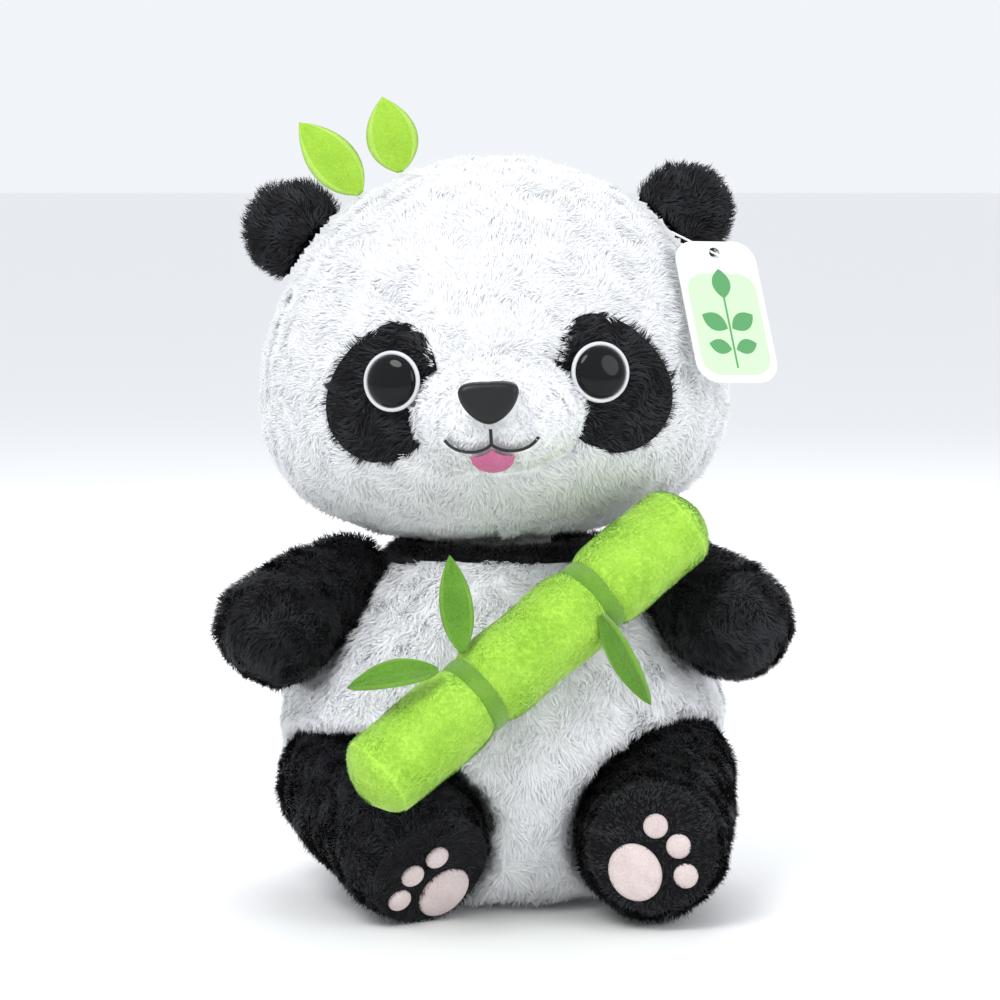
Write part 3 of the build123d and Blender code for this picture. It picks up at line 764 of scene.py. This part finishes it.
tailBall = {"radius": 0.0112, "lumps": (0.03, 0.02), "fill": 0.7}
tailLow, tailHigh = corners("tail")
tailMiddle = (tailLow + tailHigh) / 2
angle = np.linspace(math.pi / 2, -math.pi / 2, 24)
ball = tailBall["radius"]
points, faces = turned([(ball * math.cos(a), ball * math.sin(a)) for a in angle], 40)
points = points * (1 + tailBall["lumps"][0] * lumps(points, tailBall["lumps"][1]))[:, None] + tailMiddle
tail = meshed("tail_ball", points, faces, whiteBase, "torso")
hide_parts("tail")
pile(tail, "tail_pile", "torso", whiteTones, dict(longWhite, seed=33),
     lambda root: root - tailMiddle + np.array([0, 0, -0.01]))
print("torso")


# arms and legs

limb = {
    "armRadii": (0.018, 0.0255),
    "legRadii": (0.030, 0.031),
    "armFold": 0.0006,
    "legFold": 0.0007,
    "fill": 0.85,
}
foot = {
    "depth": 0.017,
    "faces": {"right": (0.46, -0.76, -0.44), "left": (-0.05, -0.98, 0.10)},
    "toeWays": {"right": (-0.76, 0, 0.65), "left": (0.85, 0, 0.52)},
    "bare": 0.0235,
    "pileLength": 0.0030,
    "pilePer": 1200000,
    "pileFrom": 0.0012,
}


def limbSkin(name, node, body, start, end, radii, cut=None, fold=0.0):
    run = Vector(end - start)
    long = run.length
    root, tip = radii
    root, tip = root - under, tip - under
    lean = (root - tip) / long
    phi = math.asin(lean)
    profile = []
    for a in np.linspace(-math.pi / 2, phi, 22):
        profile.append((root * math.cos(a), root * math.sin(a)))
    for t in np.linspace(0, 1, 24)[1:-1]:
        r0 = np.array((root * math.cos(phi), root * math.sin(phi)))
        r1 = np.array((tip * math.cos(phi), long + tip * math.sin(phi)))
        profile.append(tuple(r0 * (1 - t) + r1 * t))
    for a in np.linspace(phi, math.pi / 2, 24):
        profile.append((tip * math.cos(a), long + tip * math.sin(a)))
    points, faces = turned(profile, 96)
    along = run.normalized()
    x = along.orthogonal().normalized()
    m = matrixOf(Vector(start), x, along.cross(x), along)
    # the cloth puckers a little near its seam
    ring = np.arctan2(points[:, 1], points[:, 0])
    pucker = fold * np.sin(ring * 7) * np.exp(-((points[:, 2] - 0.3 * long) / (0.25 * long)) ** 2)
    around = np.hypot(points[:, 0], points[:, 1]) + 1e-9
    for c in (0, 1):
        points[:, c] += points[:, c] / around * (pucker + 0.0007 * lumps(points, 0.035, 4.0))
    points = moved(points, m)
    if cut:
        points[:, 2] = np.maximum(points[:, 2], 0.0003)    # a leg lies on the table
        place, face = cut
        over = (points - np.array(place)) @ np.array(face)
        points = points - np.array(face) * np.maximum(over, 0)[:, None]
    made = meshed(name, points, faces, blackBase, body)
    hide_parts(node)
    filling(made, node.replace("skin", "stuffing"), body)
    return made


soleFaces = {side: Vector(way).normalized() for side, way in foot["faces"].items()}
toeWays = {side: Vector(way) for side, way in foot["toeWays"].items()}
for side, s in (("right", -1), ("left", 1)):
    start, end = shoulders[side], paws[side]
    arm = limbSkin(f"arm_{side}", f"arm_skin_{side}", f"arm_{side}", start, end, limb["armRadii"],
                   fold=limb["armFold"])
    pile(arm, f"arm_pile_{side}", f"arm_{side}", blackTones, dict(longBlack, seed=41 + s),
         lambda root, a=start, b=end: np.tile(b - a, (len(root), 1)) + np.array([0, 0, -0.02]))
    face = soleFaces[side]
    solePlace = Vector(feet[side]) + face * foot["depth"]
    a, b, n = hips[side], feet[side], np.array(face)
    leg = limbSkin(f"leg_{side}", f"leg_skin_{side}", f"leg_{side}", a, b, limb["legRadii"],
                   cut=(solePlace, face), fold=limb["legFold"])

    def bareLeg(root, place=np.array(solePlace), n=n):
        over = (root - place) @ n
        onSole = (over > -0.0004) & (np.linalg.norm(root - place, axis=1) < foot["bare"])
        return (root[:, 2] < 0.003) | onSole

    pile(leg, f"leg_pile_{side}", f"leg_{side}", blackTones, dict(longBlack, seed=44 + s),
         lambda root, a=a, b=b: np.tile(b - a, (len(root), 1)), bareLeg)
    paint(blackBase, f"sole_{side}")
    pile(
        bpy.data.objects[f"sole_{side}"], f"sole_pile_{side}", f"leg_{side}", blackTones,
        dict(longBlack, seed=47 + s, length=foot["pileLength"], per=foot["pilePer"]),
        lambda root, p=np.array(solePlace): root - p,
        lambda root, place=np.array(solePlace), n=n: ((root - place) @ n) < foot["pileFrom"],
    )
print("limbs")


# pads: puffed cloth over each CAD disc

pawPads = {
    "above": 0.0188,        # from the middle of the foot ball to the pads' back
    "shift": {"right": (-0.005, -0.003), "left": (0.0045, -0.001)},
    "main": (0.0115, 0.0100),
    "mainRise": 0.0034,
    "toe": 0.0048,
    "toeRise": 0.0026,
    "reach": 0.0195,
    "fan": 35,
    "fill": 0.6,
}
for side, s in (("right", -1), ("left", 1)):
    face = soleFaces[side]
    x = toeWays[side].cross(face).normalized()
    y = face.cross(x)
    place = Vector(feet[side]) + face * pawPads["above"]
    m = matrixOf(place, x, y, face)
    over, up = pawPads["shift"][side]
    reach, toeSize = pawPads["reach"], pawPads["toe"]
    pads = [("main", *pawPads["main"], over, up - reach / 2, pawPads["mainRise"])]
    for toe, count in (("inner", -1), ("middle", 0), ("outer", 1)):
        around = math.radians(pawPads["fan"]) * count * s
        toeX, toeY = over + reach * math.sin(around), up + reach * (math.cos(around) - 0.5)
        pads.append((toe, toeSize, toeSize, toeX, toeY, pawPads["toeRise"]))
    for name, wide, high, px, py, rise in pads:
        angle = np.linspace(math.pi / 2, 0, 14)
        profile = [(math.cos(a), math.sin(a) ** 0.8) for a in angle] + [(0.985, -0.12), (0.0, -0.12)]
        points, faces = turned(profile, 48)
        points = points * np.array([wide, high, rise]) + np.array([px, py, 0])
        puff = meshed(f"{name}_puff_{side}", moved(points, m), faces, padCloth, f"leg_{side}")
        node = f"main_pad_{side}" if name == "main" else f"toe_pad_{name}_{side}"
        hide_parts(node)
print("pads")


# bamboo cane

stalk = {
    "low": (-0.052, -0.137, 0.0615),
    "high": (0.074, -0.073, 0.158),
    "radius": 0.0164,
    "waist": (0.0030, 0.0048),      # depth, width
    "swell": (0.0006, 0.017, 0.010),
    "shares": (0.33, 0.685),
    "round": 0.010,
    "crown": 0.0022,        # how far each end bulges
    "lumps": (0.018, 0.035),
    "endSeam": 0.0075,
    "band": (0.0142, 0.0016, 0.0040),       # radius, half thickness, half width
    "fill": 0.9,
}
caneRun = Vector(np.subtract(stalk["high"], stalk["low"]))
caneLong = caneRun.length
caneWay = caneRun.normalized()
caneX = Vector((0, -1, 0))
caneX = (caneX - caneWay * caneX.dot(caneWay)).normalized()
caneMatrix = matrixOf(Vector(stalk["low"]), caneX, caneWay.cross(caneX), caneWay)
waists = [share * caneLong for share in stalk["shares"]]
waistDeep, waistWide = stalk["waist"]
swellHigh, swellOut, swellWide = stalk["swell"]
levels = np.linspace(0, caneLong, 150)
rows = [(0.0, 0.0)]
for z in levels:
    end = min(z, caneLong - z)
    radius = stalk["radius"] - waistDeep * sum(math.exp(-((z - w) / waistWide) ** 2) for w in waists)
    radius += swellHigh * sum(math.exp(-((abs(z - w) - swellOut) / swellWide) ** 2) for w in waists)
    if end < stalk["round"]:
        radius *= (1 - (1 - end / stalk["round"]) ** 2.4 * 0.55)
    rows.append((radius, z))
rows.append((0.0, caneLong))
points, faces = turned(rows, 96)
points[:, :2] *= (1 + stalk["lumps"][0] * lumps(points, stalk["lumps"][1], 6.0))[:, None]
ends = np.clip(np.hypot(points[:, 0], points[:, 1]) / 0.008, 0, 1)
topEnd, lowEnd = points[:, 2] > caneLong - 1e-6, points[:, 2] < 1e-6
crown = stalk["crown"] * (1 - ends)
points[:, 2] += np.where(topEnd, crown, 0) - np.where(lowEnd, crown, 0)
cane = meshed("cane", moved(points, caneMatrix), faces, stalkBase, "cane")
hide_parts("cane_skin")
filling(cane, "cane_stuffing", "cane", 0.0010)
caneInverse = np.array(caneMatrix.inverted())


def bareCane(root):
    z = moved(root, caneInverse)[:, 2]
    seams = (np.abs(z - stalk["endSeam"]) < 0.0004) | (np.abs(z - caneLong + stalk["endSeam"]) < 0.0004)
    return seams | (np.min([np.abs(z - w) for w in waists], axis=0) < 0.0034)


pile(cane, "cane_pile", "cane", stalkTones, dict(shortGreen, seed=51),
     lambda root: np.tile(-np.array(caneWay), (len(root), 1)) + np.array([0, 0, -0.6]), bareCane)
bandRadius, bandThick, bandWide = stalk["band"]
for name, level in (("low", waists[0]), ("high", waists[1])):
    rows = []
    for a in np.linspace(0, 2 * math.pi, 22, endpoint=False):
        rows.append((bandRadius + bandThick * math.cos(a), level + bandWide * math.sin(a)))
    spin = np.linspace(0, 2 * math.pi, 72, endpoint=False)
    points = np.array([(r * math.cos(q), r * math.sin(q), z) for r, z in rows for q in spin])
    points[:, :2] *= (1 + 0.02 * lumps(points, 0.02, 8.0))[:, None]
    count = len(rows)
    faces = [
        (k * 72 + i, ((k + 1) % count) * 72 + i, ((k + 1) % count) * 72 + (i + 1) % 72, k * 72 + (i + 1) % 72)
        for k in range(count) for i in range(72)
    ]
    band = meshed(f"cane_loop_{name}", moved(points, caneMatrix), faces, leafEdge, "cane")
    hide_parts(f"cane_band_{name}")
print("cane")


# leaves

leafCut = {
    "rows": 40,
    "columns": 17,
    "edge": 0.86,
    "crease": 0.0011,
    "creaseDeep": 0.55,
    "stitched": 2,      # columns in the sewn edge
    "fill": 0.3,
}


def leaf(name, node, body, base, tip, face, half, thick, arch, felt, edge, slotName):
    # a padded two-layer leaf with a raised edge, a crease down its middle and an arch along its length
    base, tip = Vector(base), Vector(tip)
    run = tip - base
    across = run.cross(Vector(face)).normalized()
    out = across.cross(run).normalized()
    long = run.length
    m = matrixOf(base, across, run.normalized(), out)
    rows, columns, stitched = leafCut["rows"], leafCut["columns"], leafCut["stitched"]
    outline = bezier((0.10, 0), (1.28, 0.22), (1.28, 0.66), (0, 1), 200)
    grid = []
    for layer in (1, -1):
        for i in range(rows):
            t = i / (rows - 1)
            width = half * float(np.interp(t, outline[:, 1], outline[:, 0]))
            for j in range(columns):
                u = -1 + 2 * j / (columns - 1)
                rim = abs(u)
                ridge = math.exp(-((rim - leafCut["edge"]) / 0.10) ** 2)
                puff = (1 - rim ** 6) ** 0.5 * (0.62 + 0.38 * ridge)
                fold = math.exp(-(u * half / leafCut["crease"]) ** 2)
                puff *= 1 - leafCut["creaseDeep"] * fold * (0.08 < t < 0.9)
                puff *= min(1, 14 * (1 - t) + 0.12)
                z = layer * thick / 2 * puff
                z += arch * math.sin(math.pi * min(1, t * 1.02)) + 0.10 * arch * rim * rim
                grid.append((u * width, t * long, z))
    faces = []
    size = rows * columns
    for layer in (0, 1):
        for i in range(rows - 1):
            for j in range(columns - 1):
                a = layer * size + i * columns + j
                faces.append((a, a + 1, a + 1 + columns, a + columns))
    for i in range(rows - 1):
        for j in (0, columns - 1):
            a = i * columns + j
            faces.append((a, a + columns, a + columns + size, a + size))
    for j in range(columns - 1):
        for i in (0, rows - 1):
            a = i * columns + j
            faces.append((a, a + 1, a + 1 + size, a + size))
    made = meshed(name, moved(np.array(grid), m), faces, felt, body)
    made.data.materials.append(edge)
    for polygon in made.data.polygons:
        local = [v % size % columns for v in polygon.vertices]
        if all(j <= stitched or j >= columns - 1 - stitched for j in local):
            polygon.material_index = 1
    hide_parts(node)


def onHead(x, y, z):
    return headPlace @ Vector((x, y, z))


caneLeaves = {
    "up": {"name": "leaf_up", "base": (-0.015, -0.121, 0.1105), "tip": (-0.020, -0.109, 0.1465),
           "face": (0, -1, 0.2), "half": 0.0066, "thick": 0.0032, "arch": 0.0015},
    "side": {"name": "leaf_side", "base": (-0.024, -0.131, 0.1055), "tip": (-0.058, -0.136, 0.0995),
             "face": (0.2, -0.75, 0.65), "half": 0.0062, "thick": 0.0032, "arch": 0.0040},
    "hang": {"name": "leaf_hanging", "base": (0.038, -0.112, 0.124), "tip": (0.057, -0.111, 0.089),
             "face": (-0.6, -0.8, 0), "half": 0.0062, "thick": 0.0032, "arch": 0.0020},
}
sprouts = {
    "tall": {"name": "sprout_leaf_tall", "base": onHead(-0.035, 0.005, 0.0928),
             "tip": onHead(-0.041, 0.006, 0.124), "face": (0.15, -1, 0.05),
             "half": 0.0110, "thick": 0.0034, "arch": 0.0006},
    "side": {"name": "sprout_leaf_side", "base": onHead(-0.0515, 0.005, 0.0848),
             "tip": onHead(-0.0755, 0.004, 0.115), "face": (0.15, -1, 0.2),
             "half": 0.0105, "thick": 0.0034, "arch": 0.0006},
}
for place, cut in caneLeaves.items():
    leaf(node=f"cane_leaf_{place}", body=f"leaf_{place}", felt=leafFelt, edge=leafEdge,
         slotName="leaf_felt", **cut)
for place, cut in sprouts.items():
    leaf(node=f"sprout_{place}", body=f"sprout_flap_{place}", felt=sproutFelt, edge=sproutEdge,
         slotName="sprout_felt", **cut)
print("leaves")


# tag print and care label

tag = {
    "hole": (0.085, -0.035, 0.259),
    "foot": (0.095, -0.060, 0.204),
    "turn": 25,
    "ground": (0.031, 0.044, 0.008),
    "groundLevel": -0.031,
    "sprig": (      # x, y, degrees, length of each leaf
        (0, -0.020, 90, 0.013),
        (-0.001, -0.033, 150, 0.012),
        (0.001, -0.033, 30, 0.012),
        (-0.001, -0.042, 165, 0.010),
        (0.001, -0.042, 15, 0.010),
    ),
    "stem": (0.0004, -0.050, -0.020),
    "inkLift": 0.00016,
}
tagHole = Vector(tag["hole"])
tagWay = (tagHole - Vector(tag["foot"])).normalized()
tagTurned = math.radians(tag["turn"])
tagFace = -tagWay.cross(Vector((math.cos(tagTurned), math.sin(tagTurned), 0)))
tagFace.normalize()
tagX = tagWay.cross(tagFace).normalized()
tagMatrix = matrixOf(tagHole, tagX, tagWay, tagFace)


def printed(name, outline, lift, material):
    top = [(x, y, 0.0004 + lift) for x, y in outline]
    low = [(x, y, 0.00042) for x, y in outline]
    n = len(outline)
    faces = [tuple(range(n)), tuple(range(2 * n - 1, n - 1, -1))]
    faces += [(i, (i + 1) % n, (i + 1) % n + n, i + n) for i in range(n)]
    made = meshed(name, moved(np.array(top + low), tagMatrix), faces, material, "tag")
    made.data.shade_flat()
    return made


def roundedBox(wide, high, radius, cx, cy):
    points = []
    for qx, qy, start in ((1, 1, 0), (-1, 1, 90), (-1, -1, 180), (1, -1, 270)):
        for a in np.linspace(start, start + 90, 10):
            turn = math.radians(a)
            x = cx + qx * (wide / 2 - radius) + radius * math.cos(turn)
            y = cy + qy * (high / 2 - radius) + radius * math.sin(turn)
            points.append((x, y))
    return points


printed("tag_ground", roundedBox(*tag["ground"], 0, tag["groundLevel"]), 0.00008, cardGreen)
for index, (x, y, turn, long) in enumerate(tag["sprig"]):
    side = bezier((0, 0), (0.3, 0.42), (0.7, 0.42), (1, 0), 12)
    shape = list(side) + [np.array((p[0], -p[1])) for p in side[-2:0:-1]]
    c, q = math.cos(math.radians(turn)), math.sin(math.radians(turn))
    outline = [(x + long * (p[0] * c - p[1] * q), y + long * (p[0] * q + p[1] * c)) for p in shape]
    printed(f"tag_leaf_{index + 1}", outline, tag["inkLift"], cardDark)
half, low, top = tag["stem"]
printed("tag_stem", [(-half, low), (half, low), (half, top), (-half, top)], tag["inkLift"], cardDark)

careLabel = {"width": 0.018, "length": 0.024, "wave": 0.0012, "ripple": 0.0004, "rows": 13, "columns": 9}
labelLow, labelHigh = corners("care_label")
labelMiddle = Vector((labelLow + labelHigh) / 2)
across = Vector((0.85, -0.5, 0)).normalized()
face = Vector((0.35, 0.6, -0.9)).normalized()
along = face.cross(across).normalized()
wide, tall = careLabel["width"], careLabel["length"]
rows, columns = careLabel["rows"], careLabel["columns"]
points = []
for i in range(rows):
    for j in range(columns):
        u, v = -wide / 2 + wide * j / (columns - 1), -tall / 2 + tall * i / (rows - 1)
        wave = careLabel["wave"] * math.sin(v * 180) + careLabel["ripple"] * math.sin(u * 400)
        points.append((u, v, wave))
faces = [
    (i * columns + j, i * columns + j + 1, (i + 1) * columns + j + 1, (i + 1) * columns + j)
    for i in range(rows - 1) for j in range(columns - 1)
]
hung = matrixOf(labelMiddle, across, along, face)
label = meshed("care_ribbon", moved(np.array(points), hung), faces, ribbon, "torso", closed=False)
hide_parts("care_label")
print("tag and label")


# pieces inside

neckBall = {"radius": 0.0215, "lumps": (0.02, 0.015), "fill": 0.8}
neckLow, neckHigh = corners("neck_stuffing")
angle = np.linspace(math.pi / 2, -math.pi / 2, 30)
ball = neckBall["radius"]
points, faces = turned([(ball * math.cos(a), ball * math.sin(a)) for a in angle], 60)
points = points * (1 + neckBall["lumps"][0] * lumps(points, neckBall["lumps"][1]))[:, None]
points = points + (neckLow + neckHigh) / 2
neck = meshed("neck_fibre", points, faces, fibre, "neck")
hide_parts("neck_stuffing")
washerWhite = plain("washer plastic", (0.7, 0.7, 0.68), 0.45)
paint(ribbon, "pellet_bag")
paint(washerWhite, "nose_washer", "eye_washer_right", "eye_washer_left")
print("pieces inside")


# floor

floorData = bpy.data.meshes.new("floor")
reach = 40
corner = [(-reach, -reach, 0), (reach, -reach, 0), (reach, reach, 0), (-reach, reach, 0)]
floorData.from_pydata(corner, [], [(0, 1, 2, 3)])
floorData.materials.append(plain("paper floor", (0.90, 0.90, 0.90), 0.8))
floor = bpy.data.objects.new("floor", floorData)
bpy.context.collection.objects.link(floor)

print("done")
